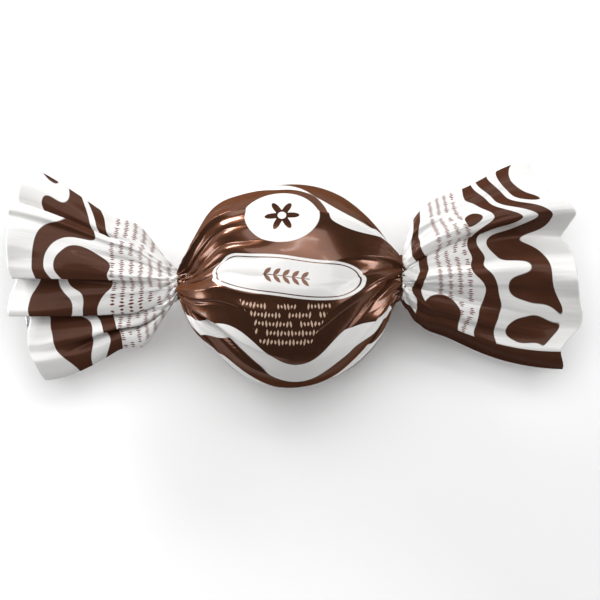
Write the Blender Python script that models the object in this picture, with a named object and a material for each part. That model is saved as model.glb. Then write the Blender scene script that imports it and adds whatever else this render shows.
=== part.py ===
"""Coconut truffle in its twist wrapper, as a Blender 4.5 script (metres, +Z up).

A domed truffle of about 30 g lies on its flat base, wrapped in a printed film
that is gathered at both ends into a short twisted neck and fans out beyond it
into a pleated tail. The pack is shut, so the truffle and its film are one solid:
one skin, lofted through rings along the twist axis from mouth to mouth.

X runs along the twist axis, +Y is the label's upper edge, +Z points up out of the
label. The origin is the centre of the flat base, on the table.
"""

import math

import bmesh
import bpy
import numpy as np

# ---------------------------------------------------------------- driving sizes
TRUFFLE_RADIUS = 0.0192  # half the truffle's width across the twist axis
DOME_HEIGHT = 0.0275  # table to crown
TWIST_HEIGHT = 0.0125  # table to twist axis, where the dome is widest
BASE_REACH = 0.0132  # twist axis to the underside, before the table flattens it
CROWN_FULLNESS = 2.1  # superellipse exponents: 2 is round, more is boxier
BASE_FULLNESS = 3.2

NECK_PLEATS = 13  # gathered folds round each twist
NECK_PLEAT_DEPTH = 0.0005
PLEAT_DEPTH = 0.0009  # fold height at its deepest, a little way up the truffle
PLEAT_START = math.radians(8)  # angles from the twist, seen from the dome's centre
PLEAT_REACH = math.radians(38)
NECK_PULL = 0.0012  # how far the twists draw the film out of the dome
NECK_PULL_REACH = math.radians(8)

TAIL_DROOP = 0.0024  # the mouths hang this much below the twist axis
SHOULDER_WIDTH = 0.13  # of a tail's length

RING_POINTS = 72  # points round the film, half of them on the upper side
BODY_RINGS = 37  # rings from neck to neck
TAIL_RINGS = 15  # rings from neck to mouth

# Each twist: where the neck is, how wide it is gathered, how full the tail's two
# edges bell out (1 is straight), and the mouth's upper and lower film edge as
# (x, y, z above the twist axis), both from the +Y corner to the -Y corner.
# A tuck is a fold pinched into the upper layer near the neck: the mouth's y that
# it points at, its half width there, the share of the tail at which it is deepest,
# and its depth. Shoulders widen the tail near the neck: how much of the spread the
# +Y side gains and at what share of the tail, then the same for the -Y side.
LEFT_TWIST = {
    "truffle_reach": 0.0202,
    "neck_x": -0.0222,
    "neck_y": 0.0003,
    "neck_radius_y": 0.0027,
    "neck_radius_z": 0.0026,
    "pleat_phase": 0.6,
    "bell_top": 1.2,
    "bell_bottom": 1.9,
    "tuck": (-0.0128, 0.0014, 0.26, 0.0016),
    "shoulders": (0.09, 0.25, 0.10, 0.21),
    "upper_edge": [
        (-0.0503, 0.0230, -0.0004),
        (-0.0510, 0.0195, 0.0012),
        (-0.0513, 0.0167, 0.0006),
        (-0.0536, 0.0157, 0.0020),
        (-0.0539, 0.0120, 0.0031),
        (-0.0540, 0.0070, 0.0034),
        (-0.0536, 0.0028, 0.0032),
        (-0.0524, 0.0012, 0.0024),
        (-0.0527, 0.0005, 0.0009),
        (-0.0538, -0.0024, 0.0015),
        (-0.0538, -0.0053, 0.0015),
        (-0.0502, -0.0062, -0.0002),
        (-0.0505, -0.0103, 0.0004),
        (-0.0492, -0.0142, -0.0002),
        (-0.0474, -0.0169, -0.0008),
        (-0.0468, -0.0176, -0.0017),
    ],
    "lower_edge": [
        (-0.0505, 0.0200, -0.0017),
        (-0.0512, 0.0150, -0.0028),
        (-0.0518, 0.0090, -0.0016),
        (-0.0516, 0.0030, -0.0030),
        (-0.0512, -0.0040, -0.0020),
        (-0.0503, -0.0100, -0.0033),
        (-0.0485, -0.0150, -0.0029),
    ],
}
RIGHT_TWIST = {
    "truffle_reach": 0.0199,
    "neck_x": 0.0218,
    "neck_y": 0.0009,
    "neck_radius_y": 0.0040,
    "neck_radius_z": 0.0027,
    "pleat_phase": 3.9,
    "bell_top": 2.3,
    "bell_bottom": 2.1,
    "tuck": (0.0094, 0.0016, 0.15, 0.0014),
    "shoulders": (0.14, 0.15, 0.04, 0.20),
    "upper_edge": [
        (0.0458, 0.0234, -0.0010),
        (0.0470, 0.0194, 0.0008),
        (0.0520, 0.0162, 0.0026),
        (0.0543, 0.0139, 0.0030),
        (0.0529, 0.0116, 0.0012),
        (0.0519, 0.0094, -0.0002),
        (0.0534, 0.0074, 0.0012),
        (0.0541, 0.0040, 0.0029),
        (0.0546, -0.0006, 0.0031),
        (0.0553, -0.0048, 0.0016),
        (0.0549, -0.0072, 0.0004),
        (0.0519, -0.0106, 0.0004),
        (0.0509, -0.0124, 0.0010),
        (0.0516, -0.0144, -0.0002),
        (0.0518, -0.0153, -0.0014),
    ],
    "lower_edge": [
        (0.0470, 0.0200, -0.0024),
        (0.0500, 0.0150, -0.0013),
        (0.0515, 0.0090, -0.0034),
        (0.0522, 0.0030, -0.0016),
        (0.0528, -0.0030, -0.0030),
        (0.0522, -0.0090, -0.0021),
        (0.0514, -0.0130, -0.0027),
    ],
}

FILM_BROWN = (0.050, 0.016, 0.008, 1.0)

# Angle of each ring point round the twist axis: 0 at +Y, a quarter turn at +Z.
AROUND = np.arange(RING_POINTS) * 2 * math.pi / RING_POINTS


# ---------------------------------------------------------------------- helpers
def smooth_path(points, segments):
    """Catmull-Rom curve through the points, cut into equal lengths."""
    points = np.array(points)
    before = 2 * points[0] - points[1]
    after = 2 * points[-1] - points[-2]
    knots = np.vstack([before, points, after])
    t = np.linspace(0, 1, 20, endpoint=False)[:, None]
    spans = []
    for a, b, c, d in zip(knots, knots[1:], knots[2:], knots[3:]):
        cubic = -a + 3 * b - 3 * c + d
        square = 2 * a - 5 * b + 4 * c - d
        spans.append(0.5 * (2 * b + (c - a) * t + square * t**2 + cubic * t**3))
    fine = np.vstack([*spans, points[-1:]])
    run = np.concatenate([[0], np.cumsum(np.linalg.norm(np.diff(fine, axis=0), axis=1))])
    wanted = np.linspace(0, run[-1], segments + 1)
    return np.column_stack([np.interp(wanted, run, axis) for axis in fine.T])


def pleats(around, phase):
    """Height of the gathered folds, -0.5 to 0.5: rounded lobes with sharp valleys, unevenly spaced."""
    wander = 0.5 * np.sin(around + phase) + 0.3 * np.sin(2 * around + 2.3 * phase)
    return np.abs(np.sin(0.5 * NECK_PLEATS * around + wander)) - 0.5


# ------------------------------------------------------- film over the truffle
def truffle_radius(direction, reach):
    """Distance from the dome's centre to its surface: a superellipsoid, boxier below its waist."""
    x, y, z = direction
    above = z >= 0
    height = np.where(above, DOME_HEIGHT - TWIST_HEIGHT, BASE_REACH)
    fullness = np.where(above, CROWN_FULLNESS, BASE_FULLNESS)
    plan = np.sqrt((x / reach) ** 2 + (y / TRUFFLE_RADIUS) ** 2)
    return (plan**fullness + (np.abs(z) / height) ** fullness) ** (-1 / fullness)


def neck_ring(twist, x, shift=0.0):
    """The gathered film at a twist, as one pleated ring."""
    swell = NECK_PLEAT_DEPTH * pleats(AROUND, twist["pleat_phase"] + shift)
    y = twist["neck_y"] + (twist["neck_radius_y"] + swell) * np.cos(AROUND)
    z = (twist["neck_radius_z"] + swell) * np.sin(AROUND)
    return np.column_stack([np.full(RING_POINTS, x), y, z])


def body_ring(polar):
    """The film's ring at an angle from the left twist, 0, to the right one, pi."""
    twist = LEFT_TWIST if polar < math.pi / 2 else RIGHT_TWIST
    from_twist = min(polar, math.pi - polar)
    direction = np.array(
        [
            np.full(RING_POINTS, -math.cos(polar)),
            math.sin(polar) * np.cos(AROUND),
            math.sin(polar) * np.sin(AROUND),
        ]
    )
    uneven_reach = PLEAT_REACH * (1 + 0.3 * np.sin(3 * AROUND + twist["pleat_phase"]))
    climb = (1 - math.exp(-from_twist / PLEAT_START)) * np.exp(-((from_twist / uneven_reach) ** 2))
    folds = PLEAT_DEPTH * climb * pleats(AROUND, twist["pleat_phase"])
    x, y, z = direction * (truffle_radius(direction, twist["truffle_reach"]) + folds)
    out = np.hypot(y, z)

    # The film leaves the truffle for the neck in a small fillet: a soft maximum.
    neck = neck_ring(twist, 0.0)
    neck_out = np.hypot(neck[:, 1] - twist["neck_y"], neck[:, 2])
    skin = (out**4 + neck_out**4) ** 0.25
    pull = NECK_PULL * math.exp(-((from_twist / NECK_PULL_REACH) ** 2))
    x += math.copysign(pull, twist["neck_x"])

    shift = twist["neck_y"] * math.exp(-((from_twist / math.radians(25)) ** 2))
    y = skin * np.cos(AROUND) + shift
    z = np.maximum(skin * np.sin(AROUND), -TWIST_HEIGHT)
    return np.column_stack([x, y, z])


def body_rings():
    """Rings from neck to neck, closer together at the necks, where the film turns."""
    step = np.linspace(0, 1, BODY_RINGS)
    polar = math.pi * step - 0.25 * np.sin(2 * math.pi * step)
    return [body_ring(angle) for angle in polar]


# ------------------------------------------------------------------ tail fans
def mouth_ring(twist):
    """The mouth's film edge: its upper layer from the +Y corner to the -Y one, and its lower layer back."""
    upper, lower = twist["upper_edge"], twist["lower_edge"]
    there = smooth_path(upper, RING_POINTS // 2)
    back = smooth_path([upper[-1], *reversed(lower), upper[0]], RING_POINTS // 2)
    ring = np.vstack([there[:-1], back[:-1]])
    ring[:, 2] -= TAIL_DROOP
    return ring


def bump(t, place):
    """A bell of height 1 at a share of the tail, faded out over the first twentieth, at the neck."""
    return math.exp(-(((t - place) / SHOULDER_WIDTH) ** 2)) * min(20 * t, 1)


def tail_rings(twist):
    """Rings from the neck to the mouth: every film line runs straight out along X and bells out sideways."""
    neck = neck_ring(twist, twist["neck_x"], shift=0.4)
    mouth = mouth_ring(twist)
    tuck_y, tuck_width, tuck_place, tuck_depth = twist["tuck"]
    tucked = np.exp(-(((mouth[:, 1] - tuck_y) / tuck_width) ** 2))
    tucked[RING_POINTS // 2 :] = 0
    top_share = (mouth[:, 1] - mouth[:, 1].min()) / np.ptp(mouth[:, 1])
    bell = twist["bell_bottom"] + (twist["bell_top"] - twist["bell_bottom"]) * top_share
    top_gain, top_place, bottom_gain, bottom_place = twist["shoulders"]
    rings = []
    for t in np.linspace(0, 1, TAIL_RINGS):
        spread = 1 - (1 - t) ** bell
        top_bump = top_gain * bump(t, top_place) * np.clip(2 * top_share - 1, 0, 1)
        bottom_bump = bottom_gain * bump(t, bottom_place) * np.clip(1 - 2 * top_share, 0, 1)
        spread = spread + top_bump + bottom_bump
        share = np.column_stack([np.full(RING_POINTS, t), spread, spread**1.2])
        ring = neck + (mouth - neck) * share
        ring[:, 2] -= tuck_depth * tucked * (t / tuck_place) * math.exp(1 - t / tuck_place)
        rings.append(ring)
    return rings


# ------------------------------------------------------------------- the solid
def loft(rings):
    """One closed mesh through the rings, shut at each mouth by a strip between its two film edges."""
    count = RING_POINTS
    faces = []
    for first in range(0, (len(rings) - 1) * count, count):
        for j in range(count):
            k = (j + 1) % count
            faces.append((first + j, first + k, first + count + k, first + count + j))
    for first in (0, (len(rings) - 1) * count):
        for j in range(count // 2):
            strip = (j, j + 1, count - j - 1, (count - j) % count)
            corners = dict.fromkeys(first + point for point in strip)
            faces.append(tuple(corners))
    points = np.vstack(rings) + (0, 0, TWIST_HEIGHT)
    mesh = bpy.data.meshes.new("wrapped_truffle")
    mesh.from_pydata(points.tolist(), [], faces)
    shape = bmesh.new()
    shape.from_mesh(mesh)
    bmesh.ops.triangulate(shape, faces=shape.faces, quad_method="SHORT_EDGE")
    bmesh.ops.recalc_face_normals(shape, faces=shape.faces)
    shape.to_mesh(mesh)
    shape.free()
    mesh.shade_smooth()
    mesh.set_sharp_from_angle(angle=math.radians(45))
    return mesh


def printed_film():
    """Glossy brown-printed film."""
    material = bpy.data.materials.new("printed_film")
    material.use_nodes = True
    shader = material.node_tree.nodes["Principled BSDF"]
    shader.inputs["Base Color"].default_value = FILM_BROWN
    shader.inputs["Roughness"].default_value = 0.28
    shader.inputs["Metallic"].default_value = 0.4
    return material


def main():
    for old in list(bpy.data.objects):
        bpy.data.objects.remove(old)
    left = tail_rings(LEFT_TWIST)[::-1]
    right = tail_rings(RIGHT_TWIST)
    mesh = loft([*left, *body_rings(), *right])
    mesh.materials.append(printed_film())
    truffle = bpy.data.objects.new("wrapped_truffle", mesh)
    bpy.context.collection.objects.link(truffle)


main()
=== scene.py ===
"""The looks of a coconut truffle in its twist wrapper, on a pale floor.

The wrapper is one sheet of metallised polypropylene, printed in chocolate brown and opaque white. It is
rolled into a tube round a domed truffle, twisted shut at both ends, and left to fan out into two pleated
tails.

X runs along the twist axis, +Y is the label's upper edge and +Z points up out of the label. Lengths are in
millimetres until a mesh is made. Turn is the angle round the twist axis, 0 at the crown and positive towards
+Y. The film carries a map of its own, film_mm: how far a point of the flat sheet lies along X, and how far
round.
"""

import bmesh
import bpy
import numpy as np
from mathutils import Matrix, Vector


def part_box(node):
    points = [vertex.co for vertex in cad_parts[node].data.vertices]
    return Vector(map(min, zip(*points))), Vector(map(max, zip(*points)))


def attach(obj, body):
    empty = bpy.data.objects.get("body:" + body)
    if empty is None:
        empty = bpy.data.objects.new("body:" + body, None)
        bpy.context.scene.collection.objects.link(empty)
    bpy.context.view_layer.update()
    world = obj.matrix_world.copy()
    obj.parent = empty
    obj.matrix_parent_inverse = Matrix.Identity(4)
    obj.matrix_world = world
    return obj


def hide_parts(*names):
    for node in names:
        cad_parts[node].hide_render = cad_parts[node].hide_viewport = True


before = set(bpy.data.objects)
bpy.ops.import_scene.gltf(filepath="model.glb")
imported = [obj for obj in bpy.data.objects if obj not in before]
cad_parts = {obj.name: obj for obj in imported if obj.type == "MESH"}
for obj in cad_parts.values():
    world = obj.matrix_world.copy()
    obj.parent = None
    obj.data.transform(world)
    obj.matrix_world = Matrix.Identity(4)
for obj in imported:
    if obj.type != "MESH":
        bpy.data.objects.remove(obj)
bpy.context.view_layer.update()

# ================================================================ film over the truffle
# The middle of the sheet, drawn tight over a domed truffle of about 30 g that sits on its flat base. The
# film is 0.03 mm polypropylene with a metallised inner face. The two twists gather it, so that sharp folds
# fan out from each neck over the dome and die out towards the label.

TRUFFLE_RADIUS = 19.2
TWIST_HEIGHT = 12.5  # table to twist axis, where the dome is widest
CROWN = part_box("wrapped_truffle")[1][2] * 1000 - TWIST_HEIGHT - 0.15  # slack film swells over it
UNDERSIDE = 13.2  # the table then flattens it
CROWN_FULLNESS, BASE_FULLNESS = 2.1, 3.2  # superellipse exponents: 2 is round, more is boxier
SHEET_AROUND = 2 * np.pi * TRUFFLE_RADIUS  # the film tube's way round
NECK_ALONG = np.pi / 2 * TRUFFLE_RADIUS  # way along the film from the label's middle to a neck
NECK_FILM = 1.4  # film between the dome and the tail's start
DOME_ROWS, NECK_ROWS, DOME_COLUMNS = 230, 6, 400
CROWN_CROWDING, NECK_CROWDING = 0.30, 0.20  # how much columns crowd at the crown and rows at the necks

# Each twist: its side, the dome's reach to it, the neck's place and half widths, where its pleats start, and
# how far the dome leans towards +Y on the way to it.
LEFT = {"side": -1, "reach": 20.2, "neck_x": -21.6, "neck_y": 0.2, "half_y": 2.6, "half_z": 2.4, "phase": 0.6,
        "lean": 1.25}
RIGHT = {"side": 1, "reach": 19.9, "neck_x": 21.6, "neck_y": 1.5, "half_y": 4.5, "half_z": 2.7, "phase": 3.9,
         "lean": 0.1}
NECK_PLEATS, NECK_PLEAT_HEIGHT = 15, 0.65
FOLD_RISE = 13  # degrees from the twist in which a fold over the dome reaches its full height
FOLD_FADE = 1.3  # power of a fold's fade along its line
FOLD_CROWDING = 10.0  # radius under which the folds' flanks narrow
CREST_ROUND = 0.15  # share of a fold's flank over which its crest is rounded
NECK_INSET = 0.94  # the dome's film ends this much inside the tails' film, which laps over it
PULL_OUT, PULL_REACH = 1.5, np.radians(8)  # how far the twists draw the film out of the dome
WINDING, TWIST_LENGTH = 0.34, 2.5  # radians a millimetre that the pleats wind round the neck, and how far out
PLEATS_END = 7.0  # how far out the neck's pleats fade
SWELL_END = np.radians(9)  # and at what angle up the dome
GATHER_HEIGHT = 0.8  # the pleats' height where they run on up the dome
GATHERS_FULL, GATHERS_END = np.radians(12), np.radians(26)  # angles where they are full, and where they fade
SIDEWAYS_END = np.radians(25)  # the dome bends to the neck's place within this angle of the twist
LEAN_MIDDLE, LEAN_WIDTH = np.radians(44), np.radians(15)  # it leans most at this angle from the twist
SEAM_EDGE, SEAM_STEP, SEAM_WIDTH = -50.0, 0.14, 6.0  # free edge of the long seam: its way round, height, ramp

# Folds over the dome: turn at the neck and at the far end in degrees, reach from the twist in degrees as
# seen from the dome's centre, height, and width of the flank below it and above it in millimetres.
LEFT_FOLDS = [
    (50, 59, 88, 1.30, 0.30, 2.2),
    (42, 46, 70, -0.90, 1.0, 0.28),
    (62, 66, 66, 0.50, 0.30, 1.5),
    (-36, -72, 96, -1.75, 0.28, 1.7),
    (-28, -52, 92, 1.50, 0.28, 1.7),
    (-44, -84, 70, 0.80, 1.1, 0.28),
    (28, 36, 86, -1.30, 1.0, 1.5),
    (14, 20, 88, -1.45, 0.9, 1.5),
    (2, 7, 84, -1.30, 0.9, 1.4),
    (-8, -7, 78, 1.00, 1.4, 0.60),
    (-17, -19, 74, 0.90, 0.28, 2.0),
    (78, 88, 64, 0.35, 0.28, 1.8),
]
RIGHT_FOLDS = [
    (48, 55, 92, 1.25, 2.1, 0.30),
    (41, 14, 70, 0.95, 0.28, 1.8),
    (35, -4, 60, -0.90, 0.28, 1.5),
    (28, -24, 68, 0.95, 0.28, 1.6),
    (22, -44, 88, 1.25, 0.28, 2.2),
    (10, -60, 78, -1.10, 0.28, 1.8),
    (-12, -70, 72, 0.85, 0.28, 1.8),
    (58, 68, 64, 0.80, 0.28, 1.8),
    (74, 84, 60, -0.60, 0.28, 1.8),
    (-55, -85, 70, -0.90, 0.28, 1.8),
]
# Folds drawn at random: how many, and the ranges of their reach, height, steep flank and gentle flank.
SMALL_FOLDS = (40, (15, 40), (0.10, 0.28), (0.12, 0.25), (0.4, 0.9))
LONG_FOLDS = (16, (45, 80), (0.15, 0.40), (0.18, 0.30), (1.0, 2.6))


def pleats(turn, phase):
    """Gathered folds, -0.5 to 0.5: the sizes of two sines, one fast and one slower and both unevenly spaced,
    so that round backs of two sizes meet in sharp valleys."""
    wander = 0.6 * np.sin(turn + phase) + 0.4 * np.sin(2 * turn + 2.3 * phase)
    small = np.abs(np.sin(0.5 * NECK_PLEATS * turn + wander))
    large = np.abs(np.sin(0.25 * (NECK_PLEATS - 1) * turn - 1.5 * wander + phase))
    return 0.55 * small + 0.45 * large - 0.5


def drawn_folds(seed, count, reach, height, steep, gentle):
    """Folds drawn evenly from ranges, round the whole twist, each nearly straight, most of them raised and
    the steep flank on either side."""
    draw = np.random.default_rng(seed)
    start = draw.uniform(-180, 180, count)
    heights = draw.uniform(*height, count) * draw.choice([-1, 1, 1], count)
    flanks = np.stack([draw.uniform(*steep, count), draw.uniform(*gentle, count)])
    flanks = np.where(draw.random(count) < 0.5, flanks, flanks[::-1])
    end = start + draw.normal(0, 8, count)
    return np.stack([start, end, draw.uniform(*reach, count), heights, *flanks], -1)


def fold_relief(away, rise, turn, radius, folds):
    """Height of all folds at a way from the twist. Each is its own height, times a rise and a fade along its
    line, times an exponential fall with the distance across it, at one rate on each side, with its crest
    rounded. Where the film is gathered to less than FOLD_CROWDING of radius, the flanks narrow with it, so
    that folds crowd but don't pile up."""
    relief = np.zeros_like(turn)
    crowded = np.clip(radius / FOLD_CROWDING, 0.01, 1)  # over 0 at the poles too
    for start, end, reach, height, below, above in folds:
        along = np.clip(away / reach, 0, 1)
        line = np.radians(start + (end - start) * along)
        across = radius * ((turn - line + np.pi) % (2 * np.pi) - np.pi)
        fade = np.clip(away / rise, 0, 1) * (1 - along**2) ** FOLD_FADE
        flanks = across / np.where(across < 0, below, above) / crowded
        relief += height * fade * np.exp(CREST_ROUND - np.hypot(flanks, CREST_ROUND))
    return relief


def slack(along, around):
    """Low swells of loose film: a sum of nine sine waves, 0.045 mm high and 7 to 17 mm long, that run mostly
    round it."""
    draw = np.random.default_rng(5)
    swell = np.zeros_like(along)
    for _ in range(9):
        slant, length = draw.normal(0, 0.35), draw.uniform(7, 17)
        wave = 2 * np.pi / length * (around * np.cos(slant) + along * np.sin(slant))
        swell += 0.045 * np.sin(wave + draw.uniform(0, 6.3))
    return swell


def wrapped_dome(polar, turn):
    """The film over the truffle, by the angle from the left twist and the turn. It is a superellipsoid seen
    from the dome's centre, raised by the folds, then widened to the neck's radius by the fourth root of the
    sum of fourth powers, and pulled out towards the neck by a bell curve of the angle. The pleats wind with
    that pull. Two more bell curves shift it sideways, to the neck and where it leans."""
    left = polar < np.pi / 2
    away = np.minimum(polar, np.pi - polar)
    side = np.where(left, -1, 1)
    along = -np.cos(polar)
    across = np.sin(polar) * np.sin(turn)
    up = np.sin(polar) * np.cos(turn)
    plan = np.hypot(along / np.where(left, LEFT["reach"], RIGHT["reach"]), across / TRUFFLE_RADIUS)
    fullness = np.where(up > 0, CROWN_FULLNESS, BASE_FULLNESS)
    height = np.where(up > 0, CROWN, UNDERSIDE)
    reach = (plan**fullness + (np.abs(up) / height) ** fullness) ** (-1 / fullness)

    ring = reach * np.sin(polar)
    small_left = drawn_folds(3, *SMALL_FOLDS)
    small_right = drawn_folds(8, *SMALL_FOLDS)
    long_left = drawn_folds(21, *LONG_FOLDS)
    long_right = drawn_folds(34, *LONG_FOLDS)
    left_folds = [*LEFT_FOLDS, *small_left, *long_left]
    right_folds = [*RIGHT_FOLDS, *small_right, *long_right]
    left_relief = fold_relief(np.degrees(polar), FOLD_RISE, turn, ring, left_folds)
    right_relief = fold_relief(180 - np.degrees(polar), FOLD_RISE, turn, ring, right_folds)
    phase = np.where(left, LEFT["phase"], RIGHT["phase"])
    pull = np.exp(-((away / PULL_REACH) ** 2))
    wound = turn - WINDING * PULL_OUT * (1 - pull)
    around = turn * TRUFFLE_RADIUS
    gathers = GATHER_HEIGHT * np.clip(away / GATHERS_FULL, 0, 1) * np.exp(-((away / GATHERS_END) ** 2))
    seam_ramp = np.clip((around - SEAM_EDGE + SEAM_WIDTH) / SEAM_WIDTH, 0, 1)
    lap = SEAM_STEP * seam_ramp * (around < SEAM_EDGE)
    reach = reach + left_relief + right_relief + gathers * pleats(wound, phase) + lap
    reach = reach + slack((polar - np.pi / 2) * TRUFFLE_RADIUS, around) * np.sin(polar)

    half_y = np.where(left, LEFT["half_y"], RIGHT["half_y"])
    half_z = np.where(left, LEFT["half_z"], RIGHT["half_z"])
    neck = 1 / np.hypot(np.sin(turn) / half_y, np.cos(turn) / half_z)
    swell = NECK_PLEAT_HEIGHT * pleats(wound, phase) * np.exp(-((away / SWELL_END) ** 2))
    skin = ((reach * np.sin(polar)) ** 4 + (NECK_INSET * (neck + swell)) ** 4) ** 0.25
    x = along * reach + side * PULL_OUT * pull
    sideways = np.where(left, LEFT["neck_y"], RIGHT["neck_y"]) * np.exp(-((away / SIDEWAYS_END) ** 2))
    lean = np.where(left, LEFT["lean"], RIGHT["lean"])
    sideways += lean * np.exp(-(((away - LEAN_MIDDLE) / LEAN_WIDTH) ** 2))
    y = skin * np.sin(turn) + sideways
    z = np.maximum(skin * np.cos(turn), -TWIST_HEIGHT)
    return np.stack([x, y, z + TWIST_HEIGHT], axis=-1)


def neck_ring(twist, turn, beyond, narrowing=0.0):
    """The gathered film at a twist, some way beyond where the dome's film ends: an ellipse swelled by the
    pleats, which wind round it less and less on that way, less the narrowing for each millimetre of it."""
    radius = 1 / np.hypot(np.sin(turn) / twist["half_y"], np.cos(turn) / twist["half_z"])
    swell = NECK_PLEAT_HEIGHT * np.exp(-((beyond / PLEATS_END) ** 2))
    wound = turn + WINDING * TWIST_LENGTH * (1 - np.exp(-beyond / TWIST_LENGTH))
    radius = radius + swell * pleats(wound, twist["phase"]) - narrowing * beyond
    x = np.broadcast_to(twist["neck_x"] + twist["side"] * beyond, radius.shape)
    y = twist["neck_y"] + radius * np.sin(turn)
    z = TWIST_HEIGHT + radius * np.cos(turn)
    return np.stack([x, y, z], axis=-1)


def film_mesh(name, points, along, around):
    """A mesh of a grid of points, rows from -X to +X and columns round the film, closed across the last
    column. Its map holds the film's own millimetres."""
    rows, columns = points.shape[:2]
    row, column = np.meshgrid(np.arange(rows - 1), np.arange(columns), indexing="ij")
    beside = (column + 1) % columns
    near, far = row * columns, (row + 1) * columns
    faces = np.stack([near + column, far + column, far + beside, near + beside], axis=-1)
    mesh = bpy.data.meshes.new(name)
    mesh.from_pydata((points.reshape(-1, 3) / 1000).tolist(), [], faces.reshape(-1, 4).tolist())
    flat = np.stack(np.broadcast_arrays(along, around), axis=-1)
    corners = np.stack([flat[:-1, :-1], flat[1:, :-1], flat[1:, 1:], flat[:-1, 1:]], axis=2)
    film = mesh.uv_layers.new(name="film_mm")
    film.data.foreach_set("uv", corners.ravel().astype(np.float32))
    mesh.shade_smooth()
    return mesh


# Columns crowd at the crown, where the label is, and rows at the necks. The film's ends run on into the
# necks, where the tails' film hides them, and each is gathered to a point, whose doubles are merged.
column_share = np.linspace(-1, 1, DOME_COLUMNS + 1)
column_turn = np.pi * column_share - CROWN_CROWDING * np.sin(np.pi * column_share)
row_share = np.linspace(0, 1, DOME_ROWS)
row_polar = np.pi * row_share - NECK_CROWDING * np.sin(2 * np.pi * row_share)
polar, turn = np.meshgrid(row_polar, column_turn, indexing="ij")
into_neck, neck_turn = np.meshgrid(np.linspace(0.1, 1.1, NECK_ROWS), column_turn, indexing="ij")
left_neck = neck_ring(LEFT, neck_turn, into_neck, narrowing=1.5)[::-1]
right_neck = neck_ring(RIGHT, neck_turn, into_neck, narrowing=1.5)
left_neck[0] = left_neck[0, :-1].mean(axis=0)
right_neck[-1] = right_neck[-1, :-1].mean(axis=0)
body_points = np.concatenate([left_neck, wrapped_dome(polar, turn), right_neck])
dome_along = (polar - np.pi / 2) * TRUFFLE_RADIUS
body_along = np.concatenate([-NECK_ALONG - into_neck[::-1], dome_along, NECK_ALONG + into_neck])
body_mesh = film_mesh("film_over_truffle", body_points[:, :-1], body_along, column_turn * TRUFFLE_RADIUS)
closed = bmesh.new()
closed.from_mesh(body_mesh)
ends = [point for point in closed.verts if not point.is_manifold or point.is_boundary]
bmesh.ops.remove_doubles(closed, verts=ends, dist=1e-6)
closed.to_mesh(body_mesh)
closed.free()
body_film = bpy.data.objects.new("film_over_truffle", body_mesh)
bpy.context.scene.collection.objects.link(body_film)


# --- its finish: reverse-printed, metallised, biaxially oriented polypropylene
def linear(hex_colour):
    """sRGB hex to linear RGBA."""
    value = np.array([int(hex_colour[i : i + 2], 16) for i in (1, 3, 5)]) / 255
    value = np.where(value <= 0.04045, value / 12.92, ((value + 0.055) / 1.055) ** 2.4)
    return (*value, 1.0)


def add(tree, kind, *inputs, **settings):
    """Adds a node with its settings, links or sets its inputs in order, and gives back its first output."""
    node = tree.nodes.new("ShaderNode" + kind)
    for name, value in settings.items():
        setattr(node, name, value)
    for socket, value in zip(node.inputs, inputs):
        if isinstance(value, bpy.types.NodeSocket):
            tree.links.new(value, socket)
        elif value is not None:
            socket.default_value = value
    return node.outputs[0]


def film_place(tree):
    """The film's own millimetres, along X and round, from its map."""
    flat = add(tree, "UVMap", uv_map="film_mm")
    parts = add(tree, "SeparateXYZ", flat).node
    return parts.outputs[0], parts.outputs[1]


def from_middle(tree, place, middle):
    """How far a place is from the middle, either way."""
    return add(tree, "Math", add(tree, "Math", place, middle, operation="SUBTRACT"), operation="ABSOLUTE")


def oval(tree, along, around, half_length, half_height):
    """Millimetres inside an oval round 0, 0: its smaller half size times one minus the scaled distance."""
    x = add(tree, "Math", along, half_length, operation="DIVIDE")
    y = add(tree, "Math", around, half_height, operation="DIVIDE")
    square = add(tree, "Math", x, x, add(tree, "Math", y, y, operation="MULTIPLY"), operation="MULTIPLY_ADD")
    inside = add(tree, "Math", 1.0, add(tree, "Math", square, operation="SQRT"), operation="SUBTRACT")
    return add(tree, "Math", inside, min(half_length, half_height), operation="MULTIPLY")


def leaf(tree, along, around, half_length, half_height):
    """Millimetres inside a pointed leaf round 0, 0: a parabola along it, less the distance from its
    midrib."""
    x = add(tree, "Math", along, half_length, operation="DIVIDE")
    arch = add(tree, "Math", 1.0, add(tree, "Math", x, x, operation="MULTIPLY"), operation="SUBTRACT")
    rib = add(tree, "Math", around, operation="ABSOLUTE")
    edge = add(tree, "Math", arch, half_height, operation="MULTIPLY")
    return add(tree, "Math", edge, rib, operation="SUBTRACT")


def rosette(tree, along, around, petals, radius, depth):
    """Millimetres inside a rosette round 0, 0: a radius that swells and shrinks with the cosine of the angle
    times the number of petals, less the distance from the middle."""
    angle = add(tree, "Math", around, along, operation="ARCTAN2")
    lobes = add(tree, "Math", add(tree, "Math", angle, petals, operation="MULTIPLY"), operation="COSINE")
    edge = add(tree, "Math", lobes, depth, radius, operation="MULTIPLY_ADD")
    from_centre = add(tree, "Math", oval(tree, along, around, 1.0, 1.0), -1.0, 1.0, operation="MULTIPLY_ADD")
    return add(tree, "Math", edge, from_centre, operation="SUBTRACT")


def ripple(tree, along, across, middle, swing, wavelength, start, half_width):
    """Millimetres inside a wavy ribbon: its half width less the distance across to a sine of the way
    along."""
    angle = add(tree, "Math", along, 2 * np.pi / wavelength, start, operation="MULTIPLY_ADD")
    sine = add(tree, "Math", angle, operation="SINE")
    line = add(tree, "Math", sine, swing, middle, operation="MULTIPLY_ADD")
    return add(tree, "Math", half_width, from_middle(tree, across, line), operation="SUBTRACT")


SWIRL_SIZE = 11.0  # millimetres across a swirl of the marbling


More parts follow.
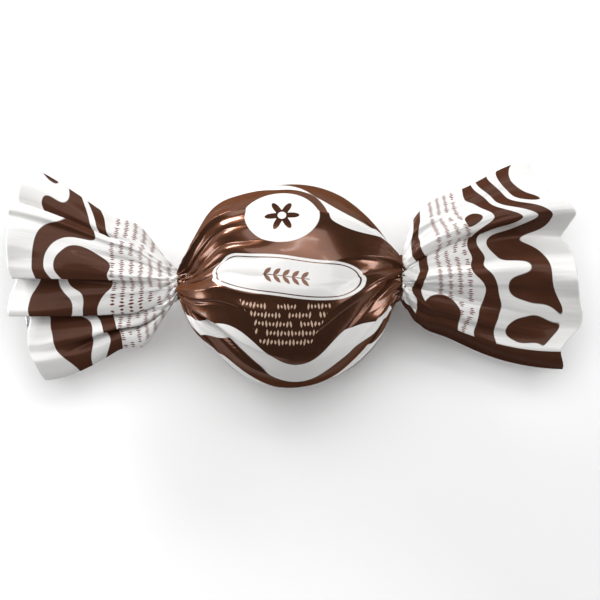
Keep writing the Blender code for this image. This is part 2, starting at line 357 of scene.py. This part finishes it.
def marbling(tree, along, around, spacing, stir, pour):
    """Combed marbling, over 0 in the dark bands: a sine of the way along the film, over the bands' spacing,
    pushed to and fro by a smooth noise. Each pour is another slice of the noise."""
    place = add(tree, "CombineXYZ", add(tree, "Math", along, SWIRL_SIZE, operation="DIVIDE"),
                add(tree, "Math", around, SWIRL_SIZE, operation="DIVIDE"), pour)
    swirl = add(tree, "TexNoise", place, None, 1.0, 0.0)
    pushed = add(tree, "Math", swirl, stir, add(tree, "Math", along, spacing, operation="DIVIDE"),
                 operation="MULTIPLY_ADD")
    return add(tree, "Math", add(tree, "Math", pushed, 2 * np.pi, operation="MULTIPLY"), operation="SINE")


def any_of(tree, *shapes):
    """Inside any of the shapes: the largest of their inside distances."""
    joined = shapes[0]
    for shape in shapes[1:]:
        joined = add(tree, "Math", joined, shape, operation="MAXIMUM")
    return joined


def less(tree, shape, hole):
    """A shape less a hole: the smaller of its inside distance and the hole's outside distance."""
    return add(tree, "Math", shape, add(tree, "Math", hole, -1.0, operation="MULTIPLY"), operation="MINIMUM")


def within(tree, shape, bounds):
    """The part of a shape that lies inside another."""
    return add(tree, "Math", shape, bounds, operation="MINIMUM")


def printed(tree, shape):
    """Ink cover, 0 to 1, of a shape given as its inside distance, with an edge as soft as a gravure
    print's."""
    return add(tree, "MapRange", shape, -0.05, 0.05, 0.0, 1.0)


ROW_STAGGER = 0.37  # of a cell, from one row of flakes to the next
FLAKE_SLANT = 0.18  # radians, either way
FLAKE_LENGTHS, FLAKE_WIDTH = (0.28, 0.86), 0.32  # swing and middle of its half length, and its half width
FLAKES_KEPT = (0.39, 0.40)  # noise over which a run of flakes is printed


def flake_rows(tree, across_rows, along_rows, pitch, spacing, flake):
    """Millimetres inside rows of coconut flakes. Each cell of a row holds one leaf shape, turned by a small
    random angle from the way across the rows. Its half length is flake, times a middle value plus a swing
    with the sine of the cell's number. Runs of cells where a noise is low are left out."""
    row_place = add(tree, "Math", across_rows, pitch, operation="DIVIDE")
    row = add(tree, "Math", row_place, operation="FLOOR")
    cell_place = add(tree, "Math", along_rows, spacing, operation="DIVIDE")
    cell_place = add(tree, "Math", row, ROW_STAGGER, cell_place, operation="MULTIPLY_ADD")
    cell = add(tree, "Math", cell_place, operation="FLOOR")
    x = add(tree, "Math", add(tree, "Math", row_place, operation="FRACT"), pitch, -pitch / 2,
            operation="MULTIPLY_ADD")
    y = add(tree, "Math", add(tree, "Math", cell_place, operation="FRACT"), spacing, -spacing / 2,
            operation="MULTIPLY_ADD")
    chance = add(tree, "TexWhiteNoise", add(tree, "CombineXYZ", cell, row, 0.0), noise_dimensions="3D")
    angle = add(tree, "Math", chance, 2 * FLAKE_SLANT, -FLAKE_SLANT, operation="MULTIPLY_ADD")
    beat = add(tree, "Math", add(tree, "Math", cell, 1.9, operation="MULTIPLY"), operation="SINE")
    half_length = add(tree, "Math", beat, FLAKE_LENGTHS[0] * flake, FLAKE_LENGTHS[1] * flake,
                      operation="MULTIPLY_ADD")
    cosine = add(tree, "Math", angle, operation="COSINE")
    sine = add(tree, "Math", angle, operation="SINE")
    lengthways = add(tree, "Math", x, cosine, add(tree, "Math", y, sine, operation="MULTIPLY"),
                     operation="MULTIPLY_ADD")
    sideways = add(tree, "Math", y, cosine, add(tree, "Math", x, sine, operation="MULTIPLY"),
                   operation="MULTIPLY_ADD")
    runs = add(tree, "CombineXYZ", add(tree, "Math", cell, 0.23, operation="MULTIPLY"),
               add(tree, "Math", row, 5.3, operation="MULTIPLY"), 0.0)
    kept = add(tree, "MapRange", add(tree, "TexNoise", runs, None, 1.0, 0.0), *FLAKES_KEPT, -1.0, 1.0)
    return within(tree, leaf(tree, lengthways, sideways, half_length, FLAKE_WIDTH * flake), kept)


def crinkled(tree, along, around):
    """Crinkles finer than the mesh: noise drawn out along the film, creased where it crosses its middle
    value. The film is drawn tight over the crown, so they grow with the square of the way from it."""
    drawn_out = add(tree, "CombineXYZ", add(tree, "Math", along, 0.06, operation="MULTIPLY"),
                    add(tree, "Math", around, 0.40, operation="MULTIPLY"), 0.0)
    crinkle = from_middle(tree, add(tree, "TexNoise", drawn_out, None, 1.0, 2.0, 0.5), 0.5)
    slackness = add(tree, "Math", add(tree, "Math", along, 1 / NECK_ALONG, operation="MULTIPLY"), 2.0,
                    operation="POWER")
    slackness = add(tree, "MapRange", slackness, 0.0, 1.0, 0.08, 0.9)
    height = add(tree, "Math", crinkle, slackness, operation="MULTIPLY")
    return add(tree, "Bump", 0.22, 0.0012, None, height)


WHITE_INK = linear("#dddcda")
BEIGE_INK = linear("#c9ad98")
FINE_INK = linear("#6e3a2c")


def printed_film(name, artwork, inks, metallic, roughness):
    """The film's outer face. Where it is brown, clear ink lies over the metal: it is dark with copper
    glints, and at a glancing angle the light dies in the ink's longer way. Where it is white, opaque ink
    hides the metal and leaves a satin gloss. A function of the tree and the film's millimetres lays out the
    white, the beige and the fine brown ink."""
    material = bpy.data.materials.new(name)
    material.use_nodes = True
    tree = material.node_tree
    shader = tree.nodes["Principled BSDF"]
    along, around = film_place(tree)
    white, beige, fine = artwork(tree, along, around)
    mottle = add(tree, "TexNoise", add(tree, "CombineXYZ", along, around, 0.0), None, 0.35, 2.0)
    brown = add(tree, "MixRGB", mottle, linear(inks[0]), linear(inks[1]))
    colour = add(tree, "MixRGB", white, brown, WHITE_INK)
    colour = add(tree, "MixRGB", beige, colour, BEIGE_INK)
    colour = add(tree, "MixRGB", fine, colour, FINE_INK)
    opaque = add(tree, "Math", white, beige, operation="MAXIMUM")
    glancing = add(tree, "LayerWeight", 0.5).node.outputs["Facing"]
    head_on = add(tree, "MapRange", glancing, 0.18, 0.62, 1.0, 0.0)
    clear_metal = add(tree, "Math", head_on, metallic, operation="MULTIPLY")
    clear_gloss = add(tree, "Math", clear_metal, 0.85, operation="MULTIPLY")
    tree.links.new(colour, shader.inputs["Base Color"])
    tree.links.new(add(tree, "MapRange", opaque, 0.0, 1.0, clear_metal, 0.0), shader.inputs["Metallic"])
    tree.links.new(add(tree, "MapRange", opaque, 0.0, 1.0, roughness, 0.40), shader.inputs["Roughness"])
    tree.links.new(add(tree, "MapRange", opaque, 0.0, 1.0, clear_gloss, 0.7), shader.inputs["Coat Weight"])
    shader.inputs["Coat Roughness"].default_value = 0.10
    shader.inputs["Specular IOR Level"].default_value = 0.0
    tree.links.new(crinkled(tree, along, around), shader.inputs["Normal"])
    return material


LABEL_STRAIGHT, LABEL_END, LABEL_HALF = 11.0, 6.8, 4.9  # half its straight part, a round end, half its width
LEAF_PITCH, FROND_HALF = 2.2, 5.5  # from one pair of leaves to the next, and half the frond's length
LEAN_COSINE, LEAN_SINE = 0.72, 0.69  # of the leaves' lean from the stem
LINE_HALF = 0.13  # half the width of the keyline
RIPPLE_SWING, RIPPLE_LENGTH, RIPPLE_START = 3.4, 27.0, -1.9  # the lower ripple, and the comb beside it
COMB_SPACING = 9.0


def truffle_artwork(tree, along, around):
    """A white label with rounded ends that sways, with a keyline and a palm frond of five pairs of leaves; a
    white medallion with a six-petalled rosette; tapering rows of beige coconut flakes; a white ripple above,
    cut back round the medallion, one below, and under the truffle a comb of ripples in step with the lower
    one."""
    along_label = add(tree, "Math", along, 0.8, operation="ADD")
    sway = add(tree, "Math", add(tree, "Math", along, 0.17, operation="MULTIPLY"), operation="SINE")
    around_label = add(tree, "Math", sway, 0.8, add(tree, "Math", around, 2.0, operation="SUBTRACT"),
                       operation="MULTIPLY_ADD")
    from_label = add(tree, "Math", along_label, operation="ABSOLUTE")
    label_end = add(tree, "Math", from_label, LABEL_STRAIGHT, operation="SUBTRACT")
    label_end = add(tree, "Math", label_end, 0.0, operation="MAXIMUM")
    label = oval(tree, label_end, around_label, LABEL_END, LABEL_HALF)
    keyline = add(tree, "Math", LINE_HALF, from_middle(tree, label, 0.75), operation="SUBTRACT")
    place = add(tree, "Math", along_label, LEAF_PITCH, operation="DIVIDE")
    place = add(tree, "Math", add(tree, "Math", place, 0.5, operation="ADD"), operation="FRACT")
    from_leaf = add(tree, "Math", place, LEAF_PITCH, -LEAF_PITCH / 2, operation="MULTIPLY_ADD")
    from_rib = from_middle(tree, around_label, 0.0)
    off_rib = add(tree, "Math", from_rib, 0.85, operation="SUBTRACT")
    up_leaf = add(tree, "Math", off_rib, LEAN_SINE, operation="MULTIPLY")
    up_leaf = add(tree, "Math", from_leaf, LEAN_COSINE, up_leaf, operation="MULTIPLY_ADD")
    off_leaf = add(tree, "Math", from_leaf, -LEAN_SINE, operation="MULTIPLY")
    off_leaf = add(tree, "Math", off_rib, LEAN_COSINE, off_leaf, operation="MULTIPLY_ADD")
    leaves = leaf(tree, up_leaf, off_leaf, half_length=1.25, half_height=0.50)
    stem = add(tree, "Math", 0.12, from_rib, operation="SUBTRACT")
    frond_end = add(tree, "Math", FROND_HALF, from_label, operation="SUBTRACT")
    ornament = any_of(tree, keyline, within(tree, any_of(tree, leaves, stem), frond_end))

    along_medallion = add(tree, "Math", along, 1.6, operation="ADD")
    around_medallion = add(tree, "Math", around, 16.4, operation="SUBTRACT")
    medallion = oval(tree, along_medallion, around_medallion, half_length=7.7, half_height=6.2)
    flower = rosette(tree, along_medallion, around_medallion, petals=6.0, radius=2.5, depth=1.1)
    flower = less(tree, flower, oval(tree, along_medallion, around_medallion, 0.9, 0.9))

    over_dome = add(tree, "Math", 25.0, add(tree, "Math", along, operation="ABSOLUTE"), operation="SUBTRACT")
    lower = ripple(tree, along, around, middle=-18.4, swing=RIPPLE_SWING, wavelength=RIPPLE_LENGTH,
                   start=RIPPLE_START, half_width=3.0)
    lower = within(tree, lower, over_dome)
    upper = ripple(tree, along, around, middle=24.5, swing=-7.0, wavelength=52.0, start=0.0, half_width=2.4)
    upper = within(tree, upper, over_dome)
    gap = oval(tree, along_medallion, around_medallion, half_length=9.6, half_height=8.1)
    gap = add(tree, "Math", gap, -1.0, operation="MULTIPLY")
    upper = add(tree, "Math", upper, gap, 1.8, operation="SMOOTH_MIN")
    wave = add(tree, "Math", along, 2 * np.pi / RIPPLE_LENGTH, RIPPLE_START, operation="MULTIPLY_ADD")
    wave = add(tree, "Math", wave, operation="SINE")
    combed = add(tree, "Math", around, 4.5, operation="SUBTRACT")
    combed = add(tree, "Math", wave, -RIPPLE_SWING, combed, operation="MULTIPLY_ADD")
    combed = add(tree, "Math", combed, operation="ABSOLUTE")
    past_first = add(tree, "Math", combed, 33.5, operation="SUBTRACT")
    from_line = add(tree, "Math", past_first, COMB_SPACING / 2, operation="PINGPONG")
    under = within(tree, add(tree, "Math", 2.0, from_line, operation="SUBTRACT"),
                   add(tree, "Math", past_first, 4.0, operation="ADD"))
    white = any_of(tree, label, medallion, lower, upper, under)
    white = less(tree, white, any_of(tree, ornament, flower))

    taper = add(tree, "Math", around, 0.55, 13.0, operation="MULTIPLY_ADD")
    block_width = add(tree, "Math", taper, from_label, operation="SUBTRACT")
    block_height = add(tree, "Math", 5.1, from_middle(tree, around, -9.18), operation="SUBTRACT")
    flakes = flake_rows(tree, around, along, pitch=2.04, spacing=0.78, flake=0.72)
    flakes = within(tree, flakes, within(tree, block_width, block_height))
    return printed(tree, white), printed(tree, flakes), 0.0


DOME_INKS = ("#50301f", "#603d2c")  # the brown inks over the dome; the tails carry the same inks painted darker
tight_print = printed_film("printed_metallised_polypropylene", truffle_artwork, DOME_INKS,
                           metallic=0.72, roughness=0.23)
body_mesh.materials.append(tight_print)
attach(body_film, "root")
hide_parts("wrapped_truffle")

# ================================================================ the two tails
# The ends of the same film tube beyond the twists. Each opens from its tight neck into a flat pleated fan,
# with cut edges. The left one keeps three folds laid over each other; the right one waves. The inner face is
# bare metal.
TAIL_FILM = 34.0  # film from neck to cut edge
TAIL_LAP = 0.3  # how far a tail's film laps over the dome's, before the pleats make it waver
TAIL_DROOP = 2.4  # the mouths hang this much below the twist axis
TAIL_FOLD_RISE = 2.5  # film in which a fold of a tail reaches its full height
TAIL_SLACK = 2.5  # how much higher the loose film swells than over the dome
FILM_THICKNESS = 0.09  # three times the real film's, so that its edge shows
TAIL_ROWS, TAIL_COLUMNS = 120, 440
EDGE_STEPS, EDGE_SPREAD = 2400, 150  # steps round a cut edge, and over how many either way a bend is softened
BROAD_FOLDS = (14, (12, 30), (0.15, 0.45), (0.3, 0.6), (1.5, 3.5))  # drawn at random, as over the dome
FINE_FOLDS = (36, (3, 13), (0.10, 0.35), (0.15, 0.3), (0.4, 1.0))

# Each tail: the film's cut edge on the upper side, from its +Y corner to its -Y corner, and back on the
# lower side, as x, y and height over the twist axis. Softness is how far round the film its bends spread.
# The bells say how fast the +Y and the -Y side flare. Shoulders widen each side by a gain, at a share of the
# way out and over a share of it. The turned-down -Y edge drops by so much, over so many millimetres of film.
# Early says at what turn, over how many degrees and by how much the bell is raised. The folds are as on the
# dome, with their reach in millimetres. The tucks are written like them, and slide the film towards -Y over
# its neighbour instead of raising it.
LEFT_TAIL = {
    "twist": LEFT,
    "softness": 0.35,
    "bells": (1.2, 1.65),
    "shoulders": ((0.13, 0.25, 0.13), (0.20, 0.24, 0.12)),
    "turned_down": (0.5, 1.5),
    "early": (-36, 13, 4.0),
    "upper": [
        (-51.0, 23.6, -0.6),
        (-51.6, 19.5, 1.0),
        (-51.9, 17.0, 1.1),
        (-51.5, 14.6, 0.4),
        (-53.2, 16.3, 1.5),
        (-53.6, 14.4, 2.7),
        (-53.8, 13.6, 2.1),
        (-53.8, 11.5, 3.0),
        (-53.8, 7.0, 3.4),
        (-53.6, 3.4, 3.2),
        (-52.7, 1.1, 2.4),
        (-52.8, 4.2, -0.2),
        (-52.5, 1.2, -1.2),
        (-53.6, -1.9, 0.6),
        (-53.9, -4.6, 1.4),
        (-53.6, -6.1, 0.8),
        (-51.6, -2.9, -1.2),
        (-49.9, -6.2, -2.0),
        (-50.3, -8.6, -0.5),
        (-50.2, -11.2, 0.3),
        (-49.9, -13.0, -0.4),
        (-48.9, -14.6, -0.2),
        (-47.9, -16.8, -0.9),
        (-46.9, -18.3, -1.8),
    ],
    "lower": [
        (-50.5, 20.0, -1.9),
        (-51.2, 15.0, -3.2),
        (-51.8, 9.0, -1.9),
        (-51.6, 3.0, -3.4),
        (-51.2, -4.0, -2.2),
        (-50.3, -10.0, -3.6),
        (-48.5, -15.0, -2.9),
    ],
    "folds": [
        (50, 52, 30, 0.5, 0.5, 2.2),
        (36, 34, 26, -0.4, 2.0, 0.6),
        (20, 17, 22, 0.5, 0.5, 2.6),
        (-16, -19, 28, 0.4, 0.4, 2.4),
        (-65, -76, 27, -3.7, 0.9, 0.7),
        (-50, -44, 20, 0.6, 0.4, 1.8),
        (-78, -76, 34, -0.4, 0.8, 1.4),
        (72, 74, 22, 0.4, 0.6, 1.6),
    ],
    "tucks": [(-60, -71, 27, 1.8, 0.5, 3.0)],
    "seed": 11,
}
RIGHT_TAIL = {
    "twist": RIGHT,
    "softness": 1.0,
    "bells": (1.6, 2.1),
    "shoulders": ((0.235, 0.17, 0.25), (0.12, 0.12, 0.13)),
    "turned_down": (5.5, 2.2),
    "early": (24, 12, 0.8),
    "upper": [
        (45.8, 24.6, -1.0),
        (46.3, 20.9, 0.8),
        (48.2, 18.4, 2.0),
        (52.2, 16.3, 3.0),
        (54.7, 14.0, 3.4),
        (53.3, 11.8, 0.8),
        (51.9, 9.5, -1.4),
        (53.4, 7.4, 0.6),
        (54.3, 4.2, 3.2),
        (54.7, 0.6, 3.5),
        (55.2, -2.4, 2.0),
        (56.0, -5.0, 1.3),
        (55.7, -7.8, 0.0),
        (52.9, -10.6, -0.2),
        (51.4, -12.3, 1.1),
        (52.3, -14.9, 0.4),
        (52.3, -16.4, -1.5),
    ],
    "lower": [
        (47.0, 20.0, -2.8),
        (50.0, 15.0, -1.6),
        (51.5, 9.0, -3.8),
        (52.2, 3.0, -1.8),
        (52.8, -3.0, -3.4),
        (52.2, -9.0, -2.2),
        (51.6, -12.4, -3.3),
        (51.0, -14.6, -3.0),
    ],
    "folds": [
        (24, 27, 20, -3.4, 0.40, 1.3),
        (16, 15, 20, 0.7, 0.4, 2.0),
        (46, 48, 28, 0.5, 0.8, 2.4),
        (64, 66, 20, -0.4, 0.8, 1.0),
        (0, -4, 27, -0.5, 0.6, 2.2),
        (-21, -24, 30, 0.5, 0.5, 2.6),
        (-40, -44, 26, -0.4, 0.5, 2.0),
        (-58, -60, 29, 0.5, 0.5, 2.4),
    ],
    "tucks": [(27, 30, 20, 1.5, 0.4, 2.5)],
    "seed": 23,
}


def cut_edge(tail, around):
    """The cut edge at each way round the film. The edge's points, spread over the film by their distance
    along it, are joined by straight lines, and each line's bends are softened by a bell-weighted average."""
    upper = np.array(tail["upper"])
    lower = np.array([tail["upper"][-1], *tail["lower"][::-1], tail["upper"][0]])
    quarter = SHEET_AROUND / 4
    parts = []
    for points, start in ((upper, quarter), (lower, -quarter)):
        run = np.concatenate([[0], np.cumsum(np.linalg.norm(np.diff(points, axis=0), axis=1))])
        parts.append((start - 2 * quarter * run / run[-1], points))
    place = np.concatenate([parts[0][0][:-1], parts[1][0]])
    points = np.concatenate([parts[0][1][:-1], parts[1][1]])
    fine = quarter - np.arange(EDGE_STEPS) / EDGE_STEPS * SHEET_AROUND
    edge = np.stack([np.interp(-fine, -place, axis) for axis in points.T], axis=-1)
    offsets = np.arange(-EDGE_SPREAD, EDGE_SPREAD + 1)
    weights = np.exp(-0.5 * (offsets * SHEET_AROUND / EDGE_STEPS / tail["softness"]) ** 2)
    padded = np.concatenate([edge[-EDGE_SPREAD:], edge, edge[:EDGE_SPREAD]])
    soft = np.stack([np.convolve(axis, weights / weights.sum(), "valid") for axis in padded.T], axis=-1)
    wrapped = (quarter - around) % SHEET_AROUND
    step = np.append(quarter - fine, SHEET_AROUND)
    closed = np.vstack([soft, soft[:1]])
    return np.stack([np.interp(wrapped, step, axis) for axis in closed.T], axis=-1)


def tail_film(tail, out, around):
    """The tail's film, by the share of the way out from the neck and the way round. Film lines run from the
    pleated neck to the cut edge. Sideways they flare by one less the remaining share to the bell's power,
    with a bell curve for each shoulder, and in height by that flare to the power 1.2. Folds raise the sheet
    as they do over the dome, tucks slide it towards -Y, and the -Y edge is turned down by an exponential
    fall from it."""
    twist, turn = tail["twist"], around / TRUFFLE_RADIUS
    edge = cut_edge(tail, around) + (0, 0, TWIST_HEIGHT - TAIL_DROOP)
    lap = TAIL_LAP * (1 + 1.6 * pleats(turn, twist["phase"]))
    neck = neck_ring(twist, turn, out * TAIL_FILM - lap)
    neck[..., 0] = twist["neck_x"] - lap * twist["side"]
    up_share = (edge[..., 1] - edge[..., 1].min()) / np.ptp(edge[..., 1])
    upper_bell, lower_bell = tail["bells"]
    early_turn, early_width, early_gain = tail["early"]
    early = early_gain * np.exp(-(((np.degrees(turn) - early_turn) / early_width) ** 2))
    flare = 1 - (1 - out) ** (lower_bell + (upper_bell - lower_bell) * up_share + early)
    for (gain, place, width), lean in zip(tail["shoulders"], (2 * up_share - 1, 1 - 2 * up_share)):
        bell = np.exp(-(((out - place) / width) ** 2)) * np.clip(12 * out, 0, 1)
        flare += gain * bell * np.clip(lean, 0, 1)
    points = neck + (edge - neck) * np.stack([out, flare, flare**1.2], axis=-1)

    radius = TRUFFLE_RADIUS * (0.15 + 0.85 * flare)
    broad = drawn_folds(tail["seed"], *BROAD_FOLDS)
    fine = drawn_folds(tail["seed"] + 1, *FINE_FOLDS)
    way = out * TAIL_FILM
    relief = fold_relief(way, TAIL_FOLD_RISE, turn, radius, [*tail["folds"], *broad, *fine])
    relief += TAIL_SLACK * slack(twist["side"] * way, around) * np.clip(3 * out, 0, 1)
    points[..., 2] += relief * np.clip(3 * np.cos(turn), -1, 1)  # outwards above and below, none at the sides
    points[..., 1] -= fold_relief(way, TAIL_FOLD_RISE, turn, radius, tail["tucks"])
    drop, width = tail["turned_down"]
    turned_down = drop * np.exp(-radius * np.abs(turn + np.pi / 2) / width)
    points[..., 2] -= turned_down * np.sin(np.pi * out) ** 0.7 * np.clip(6 * out, 0, 1)
    return points


BAND_MIDDLE, BAND_HALF = 53.4, 8.7  # ways along the film: the marbled band's middle, and half its width


def tail_artwork(tree, along, around):
    """Rows of fine brown coconut flakes next to the twist, chocolate marbled into white, and a white margin
    at the cut edge. The marbling is thinned by the sixth power of the distance from its middle, and each
    tail has a pour of its own. The right tail also has a wavy brown stripe round its neck, a brown oval low
    on its -Y side, and along that side a brown edging that is painted shade for its turned-down edge."""
    out = add(tree, "Math", along, operation="ABSOLUTE")
    from_band = add(tree, "Math", from_middle(tree, out, BAND_MIDDLE), BAND_HALF, operation="DIVIDE")
    thinning = add(tree, "Math", from_band, 6.0, operation="POWER")
    pour = add(tree, "MapRange", along, -0.1, 0.1, 7.4, 2.25)
    marbled = marbling(tree, along, around, spacing=8.0, stir=2.4, pour=pour)
    marbled = add(tree, "Math", marbled, 0.43, operation="ADD")
    brown = add(tree, "Math", thinning, -1.8, marbled, operation="MULTIPLY_ADD")
    neck_stripe = ripple(tree, around, along, middle=35.2, swing=0.8, wavelength=SHEET_AROUND / 4, start=0.8,
                         half_width=0.9)
    low_oval = oval(tree, add(tree, "Math", along, 39.0, operation="SUBTRACT"),
                    add(tree, "Math", around, -27.0, operation="SUBTRACT"), half_length=4.6, half_height=15.0)
    # painted shade: a brown band along the -Y edge, dark where the turned-down film falls into shade
    painted_shade_edging = add(tree, "Math", 6.4, from_middle(tree, around, -31.0), operation="SUBTRACT")
    brown = any_of(tree, brown, neck_stripe, low_oval, within(tree, painted_shade_edging, along))
    white = add(tree, "Math", brown, -1.0, operation="MULTIPLY")
    near_rows = add(tree, "MapRange", along, -0.1, 0.1, 32.4, 38.0)
    strip = within(tree, add(tree, "Math", out, near_rows, operation="SUBTRACT"),
                   add(tree, "Math", 45.5, out, operation="SUBTRACT"))
    flakes = flake_rows(tree, out, around, pitch=1.9, spacing=0.62, flake=0.60)
    flakes = within(tree, flakes, within(tree, strip, white))
    return printed(tree, white), 0.0, printed(tree, flakes)


TAIL_INKS = ("#462a1e", "#4f3226")  # the same brown inks painted darker, as painted shade that offsets the brighter light on the flat tails
tail_print = printed_film("printed_metallised_polypropylene_tail", tail_artwork, TAIL_INKS,
                          metallic=0.18, roughness=0.40)


def metallised_face(name):
    """The film's bare inner face, aluminium deposited in a vacuum: bright and grey, with a haze that comes
    and goes over a few millimetres and the same crinkles as the print."""
    material = bpy.data.materials.new(name)
    material.use_nodes = True
    tree = material.node_tree
    shader = tree.nodes["Principled BSDF"]
    along, around = film_place(tree)
    haze = add(tree, "TexNoise", add(tree, "CombineXYZ", along, around, 0.0), None, 0.4, 3.0)
    metal = add(tree, "MixRGB", haze, linear("#bdbdc0"), linear("#d6d6d8"))
    tree.links.new(metal, shader.inputs["Base Color"])
    tree.links.new(add(tree, "MapRange", haze, 0.3, 0.7, 0.26, 0.40), shader.inputs["Roughness"])
    tree.links.new(crinkled(tree, along, around), shader.inputs["Normal"])
    shader.inputs["Metallic"].default_value = 0.9
    return material


bare_metal = metallised_face("vacuum_metallised_inner_face")

tail_around = np.linspace(-SHEET_AROUND / 2, SHEET_AROUND / 2, TAIL_COLUMNS + 1)
for name, tail in (("left_tail", LEFT_TAIL), ("right_tail", RIGHT_TAIL)):
    side = tail["twist"]["side"]
    out = np.linspace(0, 1, TAIL_ROWS)[::side] ** 1.25
    out_grid, around_grid = np.meshgrid(out, tail_around, indexing="ij")
    points = tail_film(tail, out_grid, around_grid)
    film_along = side * (NECK_ALONG + NECK_FILM + out_grid * TAIL_FILM)
    mesh = film_mesh(name, points[:, :-1], film_along, around_grid)
    mesh.materials.append(tail_print)
    mesh.materials.append(bare_metal)
    tail_object = bpy.data.objects.new(name, mesh)
    bpy.context.scene.collection.objects.link(tail_object)
    wall = tail_object.modifiers.new("film thickness", "SOLIDIFY")
    wall.thickness = FILM_THICKNESS / 1000
    wall.offset = -1
    wall.material_offset = 1
    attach(tail_object, "root")
    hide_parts("wrapped_truffle")

# ================================================================ floor, light and camera
# A pale table top in matt emulsion, which gives no glint. A broad softbox and a strip stand over the label's
# upper edge, and small ones low at the sides glint in the folds. The camera looks straight down.
floor_mesh = bpy.data.meshes.new("floor")
floor_mesh.from_pydata([(-2, -2, 0), (2, -2, 0), (2, 2, 0), (-2, 2, 0)], [], [(0, 1, 2, 3)])
floor = bpy.data.objects.new("floor", floor_mesh)
bpy.context.scene.collection.objects.link(floor)
matt_paint = bpy.data.materials.new("matt_white_paint")
matt_paint.use_nodes = True
paint_shader = matt_paint.node_tree.nodes["Principled BSDF"]
paint_shader.inputs["Base Color"].default_value = linear("#fafafa")
paint_shader.inputs["Roughness"].default_value = 0.8
floor_mesh.materials.append(matt_paint)


def softbox(name, place, width, height, watts):
    """A rectangular area light at a place in metres, turned to face the truffle."""
    light = bpy.data.lights.new(name, "AREA")
    light.shape = "RECTANGLE"
    light.size, light.size_y, light.energy = width, height, watts
    lamp = bpy.data.objects.new(name, light)
    lamp.location = place
    lamp.rotation_euler = (Vector((0.0, 0.0, 0.012)) - lamp.location).to_track_quat("-Z", "Y").to_euler()
    bpy.context.scene.collection.objects.link(lamp)


softbox("strip_softbox", (0.12, 0.70, 1.08), 0.70, 0.03, 0.9)
softbox("broad_softbox", (-0.05, 0.70, 1.60), 2.20, 1.60, 29.0)
softbox("low_left_softbox", (-0.45, 0.52, 0.14), 0.30, 0.09, 4.4)
softbox("left_softbox", (-0.60, -0.05, 0.13), 0.20, 0.20, 1.3)
softbox("right_softbox", (0.60, 0.02, 0.13), 0.20, 0.26, 1.6)

world = bpy.data.worlds.new("studio")
world.use_nodes = True
world.node_tree.nodes["Background"].inputs["Color"].default_value = linear("#ffffff")
world.node_tree.nodes["Background"].inputs["Strength"].default_value = 0.11
bpy.context.scene.world = world
bpy.context.scene.view_settings.view_transform = "Standard"

VIEW_WIDTH = 0.114  # metres across the view at the twist axis
VIEW_MIDDLE = (0.0019, -0.0027)
lens = bpy.data.cameras.new("camera")
lens.lens = 120
lens.clip_start = 0.01
camera = bpy.data.objects.new("camera", lens)
distance = VIEW_WIDTH * lens.lens / lens.sensor_width
camera.location = (*VIEW_MIDDLE, TWIST_HEIGHT / 1000 + distance)
bpy.context.scene.collection.objects.link(camera)
bpy.context.scene.camera = camera
